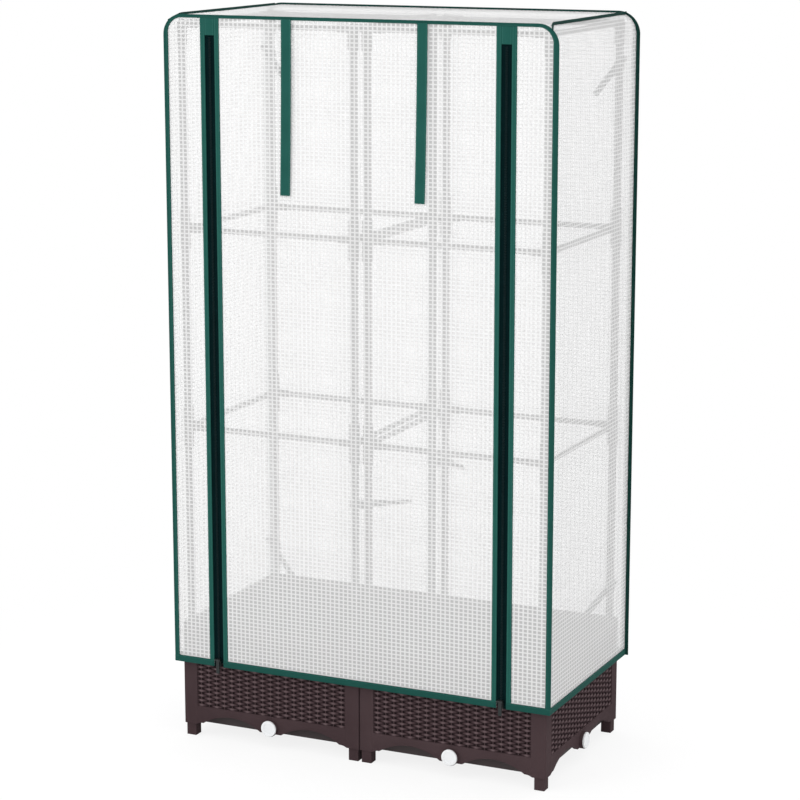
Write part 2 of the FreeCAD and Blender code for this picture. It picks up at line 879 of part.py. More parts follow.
def strap():
    """The left roll-up strap: webbing sewn round a rolled end under the top binding."""
    body = new_body("strap")
    middle = s.strap_inset - zip_inner
    half = s.strap_wide / 2
    roll = s.strap_thick / 2
    y = binding_face - s.strap_play - roll
    z = cover_top - s.strap_drop
    rolled = side_sketch(body, middle - half)
    circle(rolled, y, z, roll)
    pad(body, rolled, s.strap_wide)
    web = front_sketch(body, y + roll)
    rectangle(web, middle - half, z - s.strap_long, middle + half, z)
    pad(body, web, s.strap_thick)
    return body


def upright_tape(name, x_low, x_high, z_low, z_high):
    """Flat tape on the front of the cloth."""
    return box(name, (x_low, binding_face, z_low), (x_high, front_face, z_high))


# The two boxes.
drained_panel = side_panel("drained_panel", True)
plain_panel = side_panel("plain_panel", False)
post = corner_post()
tray = water_tray()
grid = soil_grid()
plug = drain_plug()
for side, sign in (("left", -1), ("right", 1)):
    x = box_centre * sign
    outward = 90 * sign
    node(f"{side}_front_panel", copy(drained_panel, x))
    node(f"{side}_back_panel", copy(drained_panel, x, turn=180))
    node(f"{side}_outer_panel", copy(drained_panel, x, turn=outward))
    node(f"{side}_inner_panel", copy(plain_panel, x, turn=-outward))
    node(f"{side}_corner_posts", *at_corners(post, x, ZERO))
    node(f"{side}_water_tray", *[copy(part, x, turn=outward + 90) for part in tray])
    node(f"{side}_soil_grid", copy(grid, x))
    for face, turn in (("front", 0), ("back", 180), ("outer", outward)):
        node(f"{side}_{face}_plug", copy(plug, x, z=s.drain_height, turn=turn))

# The two trellises.
socket_floor = s.rim_height - s.socket_depth
gap = s.sleeve_stop / 2
lower_tube = tube("lower_tube", s.ring_low - gap - socket_floor)
upper_tube = tube("upper_tube", s.tier_height - s.sleeve_stop)
bar = cross_bar()
tee = tee_connector()
cap = top_connector()
for side, sign in (("left", -1), ("right", 1)):
    x = box_centre * sign
    node(f"{side}_lower_tubes", *at_corners(lower_tube, x, socket_floor))
    node(f"{side}_middle_tubes", *at_corners(upper_tube, x, s.ring_low + gap))
    node(f"{side}_upper_tubes", *at_corners(upper_tube, x, ring_middle + gap))
    node(f"{side}_tee_connectors", *at_corners(tee, x, s.ring_low), *at_corners(tee, x, ring_middle))
    node(f"{side}_top_connectors", *at_corners(cap, x, ring_top))
    for tier, z in (("lower", s.ring_low), ("middle", ring_middle), ("top", ring_top)):
        along_x = [copy(bar, x, y, z) for y in (-post_axis, post_axis)]
        along_y = [copy(bar, x + dx, ZERO, z, 90) for dx in (-post_axis, post_axis)]
        node(f"{side}_{tier}_bars", *along_x, *along_y)

# Ties at the back corners, and round the posts where the boxes meet.
tie = corner_tie()
tie_other = mirrored(tie)
back_x = box_centre + post_axis
ties = []
for z in (s.rim_height + s.tie_above_rim, ring_top - s.tie_below_top):
    ties.append(copy(tie, -back_x, post_axis, z))
    ties.append(copy(tie_other, back_x, post_axis, z))
node("corner_ties", *ties)
link_tie = centre_tie()
tie_level = s.ring_low - s.tie_below_ring
node("centre_ties", *[copy(link_tie, ZERO, y, tie_level) for y in (-post_axis, post_axis)])

# The cover.
strip = front_strip()
wall = side_sheet()
seam = shoulder_binding()
node("cover_top", top_sheet())
node("cover_back", back_sheet())
node("cover_left", wall)
node("cover_right", mirrored(wall))
node("cover_front_left", strip)
node("cover_front_right", mirrored(strip))
node("front_binding", front_tape())
node("back_binding", back_tape())
node("shoulder_bindings", seam, mirrored(seam))
node("hem_binding", hem_tape())

# Zips, with the door between them.
zip_edge = zip_outer + s.zip_binding
door_edge = zip_inner - s.zip_binding
fixed_edge = upright_tape("fixed_edge", -zip_edge, -zip_outer, band_top, binding_low)
moving_edge = upright_tape("moving_edge", -zip_inner, -door_edge, band_top, binding_low)
zip_tab = upright_tape("zip_tab", -zip_outer, -zip_inner, zip_top, binding_low)
fixed_half = zip_half("fixed_half", True, s.hem_height)
moving_half = zip_half("moving_half", False, slider_low + s.bridge_tall + s.slider_play)
slider = zip_slider()
pull = zip_pull()
node("zip_bindings", fixed_edge, mirrored(fixed_edge), zip_tab, mirrored(zip_tab))
node("cover_zip_tapes", fixed_half, mirrored(fixed_half))
node("door_zip_tapes", moving_half, mirrored(moving_half))
door_low = (-zip_inner, front_face, s.hem_height)
node("door_panel", box("door_sheet", door_low, (zip_inner, cloth_back, cover_top)))
node("door_bindings", moving_edge, mirrored(moving_edge))
node("door_hem", upright_tape("door_hem_tape", -zip_inner, zip_inner, s.hem_height, band_top))
node("left_slider", slider)
node("right_slider", mirrored(slider))
node("left_pull", pull)
node("right_pull", mirrored(pull))
roll_strap = strap()
node("left_strap", roll_strap)
node("right_strap", mirrored(roll_strap))

doc.recompute()
failed = [item.Label for item in doc.Objects if {"Invalid", "Error"} & set(item.State)]
failed += [item.Label for item in nodes if item.Shape.isNull() or not item.Shape.isValid()]
if failed:
    raise RuntimeError("these objects failed: " + ", ".join(failed))
os.makedirs("parts", exist_ok=True)
for item in nodes:
    item.Shape.exportStep(f"parts/{item.Label}.step")
print(len(nodes), "nodes written")
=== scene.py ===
# Covered planter: two wicker-look boxes with tube trellises under one zipped grid-film cover.
# Metres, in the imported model's frame: +X right, +Y to the back, +Z up, the door faces -Y.
import json
import math
import bpy
from mathutils import Matrix, Vector, noise


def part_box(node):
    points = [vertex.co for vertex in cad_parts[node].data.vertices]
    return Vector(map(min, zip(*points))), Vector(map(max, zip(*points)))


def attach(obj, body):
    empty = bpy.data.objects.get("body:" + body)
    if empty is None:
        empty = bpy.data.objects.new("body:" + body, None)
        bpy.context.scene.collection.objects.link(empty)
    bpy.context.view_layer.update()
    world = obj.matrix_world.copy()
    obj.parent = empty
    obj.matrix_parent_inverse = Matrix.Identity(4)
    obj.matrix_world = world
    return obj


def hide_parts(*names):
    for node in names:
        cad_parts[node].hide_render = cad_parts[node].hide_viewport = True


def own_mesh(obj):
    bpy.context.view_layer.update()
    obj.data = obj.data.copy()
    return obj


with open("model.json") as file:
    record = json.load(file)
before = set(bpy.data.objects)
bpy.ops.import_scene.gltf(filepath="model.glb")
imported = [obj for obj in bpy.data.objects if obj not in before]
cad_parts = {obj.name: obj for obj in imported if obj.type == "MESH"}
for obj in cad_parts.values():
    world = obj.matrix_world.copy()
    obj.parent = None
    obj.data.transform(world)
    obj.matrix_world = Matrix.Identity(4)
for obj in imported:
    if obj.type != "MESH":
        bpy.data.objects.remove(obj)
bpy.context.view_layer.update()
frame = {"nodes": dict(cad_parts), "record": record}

# Directions.
LEFT, RIGHT, UP = Vector((-1, 0, 0)), Vector((1, 0, 0)), Vector((0, 0, 1))
OUTWARD, INWARD = Vector((0, -1, 0)), Vector((0, 1, 0))

# Places read from the model.
cover_low, cover_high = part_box("cover_back")
HALF_WIDE, BACK, HEM, TOP = cover_high.x, cover_high.y, cover_low.z, cover_high.z
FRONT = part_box("door_panel")[0].y
TALL, DEEP = TOP - HEM, BACK - FRONT
TAPE_LOW = HEM + 0.0005
TAPE_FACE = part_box("door_hem")[0].y
TAPE_PROUD = FRONT - TAPE_FACE
HEM_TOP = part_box("door_hem")[1].z
ZIP_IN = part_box("door_panel")[1].x
ZIP_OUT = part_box("cover_front_right")[0].x
ZIP_MID = (ZIP_IN + ZIP_OUT) / 2
ZIP_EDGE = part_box("zip_bindings")[1].x
DOOR_EDGE = 2 * ZIP_MID - ZIP_EDGE
ZIP_LOW, ZIP_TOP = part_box("door_zip_tapes")[0].z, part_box("cover_zip_tapes")[1].z
COIL_FACE, TAPE_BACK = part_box("cover_zip_tapes")[0].y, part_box("cover_zip_tapes")[1].y
BINDING_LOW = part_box("zip_bindings")[1].z + 0.002
BOX_MID = sum(corner.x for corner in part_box("right_water_tray")) / 2
TUBE = 0.008
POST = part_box("right_lower_tubes")[1].y - TUBE

# The cover's shoulders and its bound seams. Seam angles are from the upright.
SHOULDER, SEAM_ANGLE, SEAM_ANGLE_FRONT = 0.038, math.radians(22), math.radians(45)
SHOULDER_X, SHOULDER_Z = HALF_WIDE - SHOULDER, TOP - SHOULDER
SIDE_RUN = SHOULDER_Z - HEM + SHOULDER * (math.pi / 2 - SEAM_ANGLE)
ROOF_RUN = 2 * (SHOULDER_X + SHOULDER * SEAM_ANGLE)
BINDING, WRAP, TURN = 0.007, 0.0025, 0.0012
BACK_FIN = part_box("back_binding")[1].x - HALF_WIDE
SHOULDER_FIN, FIN_THICK = 0.006, 0.0026
TAPE_STEPS = 90

# One planter panel, about the middle of its box, facing -Y.
BOX_FACE, SPAN, PANEL_DEEP = -0.2, 0.172, 0.009
RIM, FOOT_TOP, RAIL_LOW = 0.243, 0.026, 0.030
FIELD_LOW, FIELD_HIGH, FIELD_HALF, FIELD_DEEP = 0.066, 0.219, 0.169, 0.005
COLUMNS, ROWS = 19, 30
COLUMN = 2 * FIELD_HALF / COLUMNS
ROW = (FIELD_HIGH - FIELD_LOW) / ROWS
STRAND_HIGH, STRAND_DEEP, WAVE = 0.0026, 0.0011, 0.0014
ARCH_RADIUS, ARCH_X, ARCH_TOP = 0.1189, 0.090, 0.050
GUSSET_X, GUSSET_RADIUS = 0.158, 0.0265
DRAIN, BOSS_RADIUS, BOSS_PROUD, BORE_RADIUS = 0.043, 0.0175, 0.007, 0.00815
LEDGE_LOW, LEDGE_HIGH, LEDGE_DEEP = 0.074, 0.080, 0.008


# Modelling by hand: primitives, edit mode and modifiers.


def begin():
    """Leaves edit mode with nothing selected."""
    if bpy.context.mode != "OBJECT":
        bpy.ops.object.mode_set(mode="OBJECT")
    bpy.ops.object.select_all(action="DESELECT")


def only(piece):
    """Selects one piece alone and makes it the active one."""
    begin()
    piece.select_set(True)
    bpy.context.view_layer.objects.active = piece


def add(kind, name, sides=(1, 1, 1), **placed):
    """Adds a primitive at its size and place, with its place settled in the mesh."""
    begin()
    getattr(bpy.ops.mesh, f"primitive_{kind}_add")(**placed)
    made = bpy.context.object
    made.name = name
    made.scale = sides
    bpy.ops.object.transform_apply(location=True, rotation=True, scale=True)
    return made


def block(name, low, high):
    """A box between two corners."""
    middle = [(a + b) / 2 for a, b in zip(low, high)]
    sides = [b - a for a, b in zip(low, high)]
    return add("cube", name, sides=sides, size=1, location=middle)


def rod(name, radius, front, back, x, z, vertices):
    """A round bar that runs from front to back."""
    return add("cylinder", name, vertices=vertices, radius=radius, depth=back - front,
               location=(x, (front + back) / 2, z), rotation=(math.pi / 2, 0, 0))


def pick(piece, kind, wanted):
    """Enters edit mode with only the faces, edges or corners that pass a test selected."""
    only(piece)
    bpy.ops.object.mode_set(mode="EDIT")
    bpy.ops.mesh.select_mode(type=kind)
    bpy.ops.mesh.select_all(action="DESELECT")
    bpy.ops.object.mode_set(mode="OBJECT")
    mesh = piece.data
    for part in {"VERT": mesh.vertices, "EDGE": mesh.edges, "FACE": mesh.polygons}[kind]:
        part.select = wanted(part)
    bpy.ops.object.mode_set(mode="EDIT")


def leave_edit():
    bpy.ops.object.mode_set(mode="OBJECT")


def slice_at(piece, point, normal, drop=False):
    """Bisects a whole piece; drop takes off and closes the side that the normal points to."""
    pick(piece, "VERT", lambda corner: True)
    bpy.ops.mesh.bisect(plane_co=point, plane_no=normal, clear_outer=drop, use_fill=drop)
    leave_edit()


def worked(piece, kind, **settings):
    """Adds a modifier with its settings and applies it."""
    modifier = piece.modifiers.new("step", kind)
    for name, value in settings.items():
        setattr(modifier, name, value)
    only(piece)
    bpy.ops.object.modifier_apply(modifier=modifier.name)


def carve(piece, tool, operation="DIFFERENCE"):
    """Cuts a tool out of a piece, or joins it on, and uses the tool up."""
    worked(piece, "BOOLEAN", object=tool, operation=operation, solver="EXACT")
    bpy.data.objects.remove(tool)


def repeated(piece, count, step, merge=False):
    """Repeats a piece in a row within its own mesh."""
    worked(piece, "ARRAY", count=count, use_relative_offset=False, use_constant_offset=True,
           constant_offset_displace=step, use_merge_vertices=merge, merge_threshold=1e-5)


def eased(piece, width):
    """Rounds a piece's sharp edges a little."""
    worked(piece, "BEVEL", width=width, segments=2, limit_method="ANGLE",
           angle_limit=math.radians(40))


def smoothed(piece, degrees):
    """Shades smoothly across edges that bend less than an angle."""
    only(piece)
    bpy.ops.object.shade_smooth_by_angle(angle=math.radians(degrees))


def joined(name, first, *others):
    """Joins pieces into the first, under a new name."""
    only(first)
    for other in others:
        other.select_set(True)
    bpy.ops.object.join()
    first.name = name
    return first


def copied(piece, name, placing):
    """A copy with its own mesh, moved there by a matrix."""
    twin = piece.copy()
    twin.data = piece.data.copy()
    twin.name = name
    twin.data.transform(placing)
    if placing.determinant() < 0:
        twin.data.flip_normals()
    bpy.context.collection.objects.link(twin)
    return twin


def squares(name, across, along, place):
    """A sheet of squares; place(i, j) gives a corner's point and its spot on the flat cloth."""
    sheet = add("grid", name, x_subdivisions=across, y_subdivisions=along, size=1)
    flat = []
    for corner in sheet.data.vertices:
        i = round((corner.co.x + 0.5) * across)
        j = round((corner.co.y + 0.5) * along)
        corner.co, spot = place(i, j)
        flat.append(spot)
    layer = sheet.data.uv_layers.active.data
    for loop in sheet.data.loops:
        layer[loop.index].uv = flat[loop.vertex_index]
    return sheet


def swept(name, path, section, thick):
    """Tape along a path of (point, first, second) whose section is (first, second, sewn) rows.

    First and second are the directions that a row's two offsets go; sewn is its distance from
    the nearest sewn edge. The tape gets its thickness behind the swept face.
    """
    gone = [0.0]
    for before, after in zip(path, path[1:]):
        gone.append(gone[-1] + (after[0] - before[0]).length)

    def place(i, j):
        point, first, second = path[i]
        a, b, sewn = section[j]
        return point + first * a + second * b, (gone[i], sewn)

    tape = squares(name, len(path) - 1, len(section) - 1, place)
    worked(tape, "SOLIDIFY", thickness=thick, offset=-1, use_even_offset=True)
    smoothed(tape, 50)
    return tape


def steps(low, high, count):
    """Evenly spaced values from low to high, both included."""
    return [low + (high - low) * k / count for k in range(count + 1)]


def settle(piece, finish, body, slot, *nodes):
    """Gives a piece its finish and its body and hides the nodes it stands for; slot is not used."""
    if finish:
        piece.data.materials.clear()
        piece.data.materials.append(finish.material)
    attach(piece, body)
    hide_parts(*nodes)
    return piece


# Finishes.


class Wire:
    """One output in a node tree; sums and products of wires add Math nodes."""

    def __init__(self, nodes, socket):
        self.nodes = nodes
        self.socket = socket

    def math(self, operation, *values):
        return self.nodes.node("Math", dict(enumerate(values)), operation=operation)

    def __add__(self, other):
        return self.math("ADD", self, other)

    def __radd__(self, other):
        return self.math("ADD", other, self)

    def __sub__(self, other):
        return self.math("SUBTRACT", self, other)

    def __rsub__(self, other):
        return self.math("SUBTRACT", other, self)

    def __mul__(self, other):
        return self.math("MULTIPLY", self, other)

    def __rmul__(self, other):
        return self.math("MULTIPLY", other, self)

    def __truediv__(self, other):
        return self.math("DIVIDE", self, other)

    def __abs__(self):
        return self.math("ABSOLUTE", self)

    def part(self):
        return self.math("FRACT", self)

    def sine(self):
        return self.math("SINE", self)

    def most(self, other):
        return self.math("MAXIMUM", self, other)

    def ramp(self, low, high):
        """Rises smoothly from 0 at low to 1 at high."""
        return self.nodes.node("MapRange", {"Value": self, "From Min": low, "From Max": high},
                               interpolation_type="SMOOTHSTEP")


class Nodes:
    """A node tree, filled node by node."""

    def __init__(self, tree):
        self.tree = tree

    def put(self, node, sockets):
        """Sets a node's sockets by name or number, to values or to wires."""
        for key, value in sockets.items():
            if isinstance(value, Wire):
                self.tree.links.new(value.socket, node.inputs[key])
            else:
                node.inputs[key].default_value = value

    def node(self, kind, sockets=None, out=0, **settings):
        """Any node: its type, its sockets' values or links, the output wanted, its settings."""
        made = self.tree.nodes.new("ShaderNode" + kind)
        for key, value in settings.items():
            setattr(made, key, value)
        self.put(made, sockets or {})
        return Wire(self, made.outputs[out])


class Finish(Nodes):
    """A procedural material: a Principled surface and the nodes that feed it."""

    def __init__(self, name, **plain):
        self.material = bpy.data.materials.new(name)
        self.material.use_nodes = True
        super().__init__(self.material.node_tree)
        self.surface = self.tree.nodes["Principled BSDF"]
        self.output = self.tree.nodes["Material Output"]
        self.feed({key.replace("_", " "): value for key, value in plain.items()})

    def feed(self, sockets):
        self.put(self.surface, sockets)

    def body(self):
        return Wire(self, self.surface.outputs[0])

    def place(self):
        return self.node("TexCoord", out="Object")

    def flat(self):
        """The two distances of the piece's own UV map, along and across its cloth."""
        spot = self.node("TexCoord", out="UV")
        return self.node("SeparateXYZ", {0: spot}, "X"), self.node("SeparateXYZ", {0: spot}, "Y")

    def cloud(self, where, scale, detail):
        return self.node("TexNoise", {"Vector": where, "Scale": scale, "Detail": detail})

    def mix(self, share, first, second):
        return self.node("Mix", {0: share, 6: first, 7: second}, 2, data_type="RGBA")

    def bump(self, height, strength, distance):
        return self.node("Bump", {"Strength": strength, "Distance": distance, "Height": height})


def shade(red, green, blue):
    """An opaque colour in linear light."""
    return (red, green, blue, 1.0)


def moulding(name, low, high, rough, grain=0.2, gloss=0.25):
    """Moulded plastic: clouded colour with a fine spark-eroded grain."""
    finish = Finish(name, Specular_IOR_Level=gloss)
    where = finish.place()
    fine = finish.cloud(where, 1400, 3)
    broad = finish.cloud(where, 7, 4)
    finish.feed({
        "Base Color": finish.mix(broad.ramp(0.3, 0.7), low, high),
        "Roughness": rough - 0.06 + 0.12 * finish.cloud(where, 60, 3),
        "Normal": finish.bump(fine, grain, 0.0002),
    })
    return finish


def wicker():
    """Moulded wicker, with painted light: a pale painted highlight on the crowns of the strands and
    near-black painted shade in the gaps.
    """
    finish = Finish("wicker", Specular_IOR_Level=0.01)
    where = finish.place()
    relief = finish.node("Attribute", out="Fac", attribute_name="relief")
    streak = finish.cloud(finish.node("Mapping", {"Vector": where, "Scale": (1, 1, 6)}), 160, 3)
    # Painted shade: the colour goes near black towards the recess floor, where shade falls between
    # the strands.
    body = finish.mix(relief.ramp(0.25, 0.88), shade(0.00588, 0.00362, 0.00425),
                      shade(0.0588, 0.038, 0.0412))
    # Painted highlight: the fronts of the strands are painted pale where light would catch them.
    painted_crown_highlight = relief.ramp(0.80, 1.0) * (0.35 + 0.65 * streak)
    finish.feed({
        "Base Color": finish.mix(painted_crown_highlight, body, shade(0.1358, 0.0977, 0.1023)),
        "Roughness": 0.62 - 0.2 * relief.ramp(0.5, 1.0) + 0.08 * streak,
        "Normal": finish.bump(streak, 0.35, 0.0003),
    })
    return finish


def coating():
    """Plastic-coated steel tube with a slight orange-peel skin."""
    finish = Finish("tube_coating", Specular_IOR_Level=0.5)
    where = finish.place()
    peel = finish.cloud(where, 420, 2)
    broad = finish.cloud(where, 12, 4)
    finish.feed({
        "Base Color": finish.mix(broad, shade(0.0320, 0.0288, 0.0272),
                                 shade(0.0540, 0.0491, 0.0467)),
        "Roughness": 0.34 + 0.14 * broad,
        "Normal": finish.bump(peel, 0.22, 0.0003),
    })
    return finish


def thread_mask(run, pitch, share, soft):
    """One where a thread runs, in stripes of that share of the pitch."""
    away = abs((run / pitch).part() - 0.5) * 2
    return away.ramp(1 - share - soft, 1 - share + soft)


def grid_film():
    """Milky film on a white thread grid: threads nearly opaque, the panes half clear."""
    finish = Finish("grid_film", Roughness=0.42, Specular_IOR_Level=0.3)
    along, up = finish.flat()
    share, soft = 0.31, 0.17
    warp = thread_mask(along, 0.0096, share, soft)
    weft = thread_mask(up, 0.0080, share, soft)
    threads = warp.most(weft)
    lumps = finish.cloud(finish.place(), 5, 3)
    colour = finish.mix(threads, shade(0.99, 0.99, 0.99), shade(0.765, 0.765, 0.765))
    finish.feed({
        "Base Color": finish.mix(0.2 * lumps, colour, shade(0.91, 0.915, 0.915)),
        "Normal": finish.bump(warp + weft, 0.25, 0.0003),
    })
    passed = finish.node("BsdfTranslucent", {"Color": colour})
    body = finish.node("MixShader", {0: 0.15, 1: finish.body(), 2: passed})
    clear = finish.node("BsdfTransparent")
    finish.put(finish.output, {"Surface": finish.node(
        "MixShader", {0: 0.46 + 0.44 * threads, 1: clear, 2: body})})
    return finish


def webbing(name, low, high, seam):
    """Woven tape: fine ribs, clouded colour and a row of stitches near each sewn edge."""
    rib, seam_in, stitch_pitch = 0.0011, 0.0021, 0.0034
    finish = Finish(name, Specular_IOR_Level=0.03, Sheen_Weight=0.02, Sheen_Roughness=0.5)
    along, sewn = finish.flat()
    where = finish.place()
    twill = ((along + sewn) * (2 * math.pi / rib)).sine() * 0.5 + 0.5
    cross = ((along - sewn) * (2 * math.pi / (1.7 * rib))).sine() * 0.5 + 0.5
    weave = 0.6 * twill + 0.4 * cross
    cloudy = finish.cloud(where, 26, 4)
    line = 1 - abs(sewn - seam_in).ramp(0.0003, 0.0007)
    dash = abs((along / stitch_pitch).part() - 0.5).ramp(0.08, 0.16)
    stitch = line * dash
    pucker = (along * (math.pi / stitch_pitch)).sine() * (1 - sewn.ramp(0.002, 0.006))
    cloth = finish.mix(0.55 * weave + 0.45 * cloudy, low, high)
    finish.feed({
        "Base Color": finish.mix(stitch, cloth, seam),
        "Roughness": 0.82 - 0.14 * weave,
        "Normal": finish.bump(0.5 * weave + 0.9 * stitch + 0.5 * pucker, 0.5, 0.0004),
    })
    return finish


def zip_cloth():
    """Near-black herringbone zip tape."""
    finish = Finish("zip_cloth", Specular_IOR_Level=0.03)
    along, across = finish.flat()
    bone_wide, rib = 0.003, 0.0009
    slant = along + abs((across / bone_wide).part() - 0.5) * bone_wide
    bone = (slant * (2 * math.pi / rib)).sine()
    cloudy = finish.cloud(finish.place(), 40, 3)
    finish.feed({
        "Base Color": finish.mix(cloudy, shade(0.00054, 0.00679, 0.00769),
                                 shade(0.00145, 0.0109, 0.0122)),
        "Roughness": 0.85 - 0.1 * cloudy,
        "Normal": finish.bump(bone, 0.4, 0.0002),
    })
    return finish


def zip_coil():
    """Nylon coil teeth, a little shinier and paler than the tape."""
    finish = Finish("zip_coil", Specular_IOR_Level=0.12)
    cloudy = finish.cloud(finish.place(), 300, 2)
    finish.feed({
        "Base Color": finish.mix(cloudy, shade(0.00181, 0.0109, 0.0118),
                                 shade(0.00543, 0.019, 0.0208)),
        "Roughness": 0.36 + 0.14 * cloudy,
    })
    return finish


def painted_metal():
    """Grey enamelled zinc, rubbed here and there."""
    finish = Finish("zip_metal", Specular_IOR_Level=0.5)
    where = finish.place()
    worn = finish.cloud(where, 220, 4)
    rubbed = worn.ramp(0.56, 0.68)
    finish.feed({
        "Base Color": finish.mix(rubbed, shade(0.0095, 0.0140, 0.0145),
                                 shade(0.0340, 0.0400, 0.0400)),
        "Metallic": 0.25 + 0.6 * rubbed,
        "Roughness": 0.42 - 0.12 * rubbed,
        "Normal": finish.bump(worn, 0.1, 0.0002),
    })
    return finish


RAIL_FINISH = moulding("planter_moulding", shade(0.0466, 0.03, 0.0326),
                       shade(0.0583, 0.0385, 0.0412), 0.56, gloss=0.01)
TRAY_FINISH = moulding("tray_moulding", shade(0.0308, 0.0226, 0.0235),
                       shade(0.0434, 0.0326, 0.0335), 0.60)
GRID_FINISH = moulding("grid_moulding", shade(0.0498, 0.0362, 0.0371),
                       shade(0.0679, 0.0507, 0.0516), 0.58)
PLUG_FINISH = moulding("plug_moulding", shade(0.708, 0.7213, 0.7345),
                       shade(0.7611, 0.77, 0.7788), 0.36, grain=0.06)
JOINT_FINISH = moulding("connector_moulding", shade(0.0434, 0.038, 0.0353),
                        shade(0.0634, 0.0552, 0.0516), 0.48)
WICKER_FINISH = wicker()
TUBE_FINISH = coating()
FILM_FINISH = grid_film()


def green_tape(name, depth):
    """Dark green webbing; depth scales its colour, and below one it paints shade onto the tape."""
    tones = ((0.0090, 0.0585, 0.0468), (0.0182, 0.0995, 0.0822), (0.0290, 0.1240, 0.1008))
    return webbing(name, *[shade(*[part * depth for part in tone]) for tone in tones])


# The straps and zip tabs take the webbing at its own colour; the edge and hem tapes are darkened a
# little as painted shade, and the standing back and shoulder seams much more.
GREEN_FINISH = green_tape("green_webbing", 1.0)
SHADED_EDGE_FINISH = green_tape("edge_webbing_painted_shade", 0.80)
SHADED_SEAM_FINISH = green_tape("seam_webbing_painted_shade", 0.42)
TIE_FINISH = webbing("tie_webbing", shade(0.0272, 0.0272, 0.0272), shade(0.0679, 0.0679, 0.0679),
                     shade(0.0995, 0.0995, 0.0995))
ZIP_FINISH = zip_cloth()
COIL_FINISH = zip_coil()
METAL_FINISH = painted_metal()


# Planter panels: a moulded frame with arches and a drain boss, round a woven field.


def panel_frame(drained):
    """A panel's rails and stiles, with arches, gussets, a ledge and, if drained, a bored boss."""
    piece = block("panel_frame", (-SPAN, BOX_FACE, FOOT_TOP), (SPAN, BOX_FACE + PANEL_DEEP, RIM))
    for x in (-FIELD_HALF, FIELD_HALF):
        slice_at(piece, (x, 0, 0), (1, 0, 0))
    for z in (FIELD_LOW, FIELD_HIGH):
        slice_at(piece, (0, 0, z), (0, 0, 1))
    pick(piece, "FACE", lambda face: face.normal.y < -0.9 and abs(face.center.x) < FIELD_HALF
         and FIELD_LOW < face.center.z < FIELD_HIGH)
    bpy.ops.mesh.extrude_region_move(TRANSFORM_OT_translate={"value": (0, FIELD_DEEP, 0)})
    leave_edit()
    front, back = BOX_FACE - 0.02, BOX_FACE + 0.03
    for side in (-1, 1):
        carve(piece, rod("arch", ARCH_RADIUS, front, back, side * ARCH_X,
                         ARCH_TOP - ARCH_RADIUS, 160))
        carve(piece, rod("gusset", GUSSET_RADIUS, front, back, side * GUSSET_X,
                         RAIL_LOW - GUSSET_RADIUS, 96))
    carve(piece, block("under_rail", (-GUSSET_X, front, 0), (GUSSET_X, back, RAIL_LOW)))
    carve(piece, block("ledge", (-SPAN, BOX_FACE + PANEL_DEEP - 0.001, LEDGE_LOW),
                       (SPAN, BOX_FACE + PANEL_DEEP + LEDGE_DEEP, LEDGE_HIGH)), "UNION")
    if drained:
        face = BOX_FACE - BOSS_PROUD
        carve(piece, rod("boss", BOSS_RADIUS, face, BOX_FACE + PANEL_DEEP, 0, DRAIN, 64), "UNION")
        carve(piece, rod("bore", BORE_RADIUS, face - 0.01, back, 0, DRAIN, 40))
    eased(piece, 0.0010)
    smoothed(piece, 32)
    piece.data.materials.append(RAIL_FINISH.material)
    piece.data.materials.append(WICKER_FINISH.material)
    # The recess floor behind the weave gets the wicker finish, whose zero relief there paints it
    # near black as shade.
    for face in piece.data.polygons:
        if face.normal.y < -0.9 and abs(face.center.y - BOX_FACE - FIELD_DEEP) < 1e-4:
            face.material_index = 1
    return piece


def woven_field():
    """Strands that pass over one stake and under the next, row by row in turn."""
    bends, swell, stake_radius = 6, 0.09, 0.0016
    strand = add("cylinder", "strand", vertices=8, radius=1, depth=2 * COLUMN,
                 end_fill_type="NOTHING", rotation=(0, math.pi / 2, 0),
                 sides=(STRAND_HIGH, STRAND_DEEP, 1))
    for k in range(1 - bends, bends):
        slice_at(strand, (COLUMN * k / bends, 0, 0), (1, 0, 0))
    for k in range(-bends, bends + 1):
        lean = math.cos(math.pi * k / bends)
        lean = lean ** 1.4 if lean > 0 else -abs(lean) ** 0.7
        pick(strand, "VERT", lambda corner: abs(corner.co.x - COLUMN * k / bends) < 1e-5)
        bpy.ops.transform.resize(value=(1, 1, 1 + swell * lean),
                                 center_override=(COLUMN * k / bends, 0, 0))
        bpy.ops.transform.translate(value=(0, -WAVE * lean, 0))
        leave_edit()
    middle = BOX_FACE + FIELD_DEEP / 2
    repeated(strand, COLUMNS // 2 + 2, (2 * COLUMN, 0, 0), merge=True)
    rows = []
    for odd in (0, 1):
        start = -FIELD_HALF + COLUMN * (odd - 1.5)
        row = copied(strand, f"row_{odd}", Matrix.Translation(
            (start, middle, FIELD_LOW + ROW * (odd + 0.5))))
        slice_at(row, (FIELD_HALF, 0, 0), (1, 0, 0), drop=True)
        slice_at(row, (-FIELD_HALF, 0, 0), (-1, 0, 0), drop=True)
        repeated(row, ROWS // 2, (0, 0, 2 * ROW))
        rows.append(row)
    bpy.data.objects.remove(strand)
    stake = add("cylinder", "stake", vertices=6, radius=stake_radius, depth=FIELD_HIGH - FIELD_LOW,
                location=(COLUMN / 2 - FIELD_HALF, middle, (FIELD_LOW + FIELD_HIGH) / 2))
    repeated(stake, COLUMNS, (COLUMN, 0, 0))
    field = joined("woven_field", *rows, stake)
    deep, proud = BOX_FACE + FIELD_DEEP, middle - WAVE - STRAND_DEEP
    # Relief runs from 0 at the recess floor to 1 at the front of the strands; the wicker finish
    # paints its shade and highlight from it.
    relief = field.data.attributes.new("relief", "FLOAT", "POINT")
    for corner in field.data.vertices:
        relief.data[corner.index].value = (deep - corner.co.y) / (deep - proud)
    smoothed(field, 70)
    field.data.materials.append(WICKER_FINISH.material)
    return field


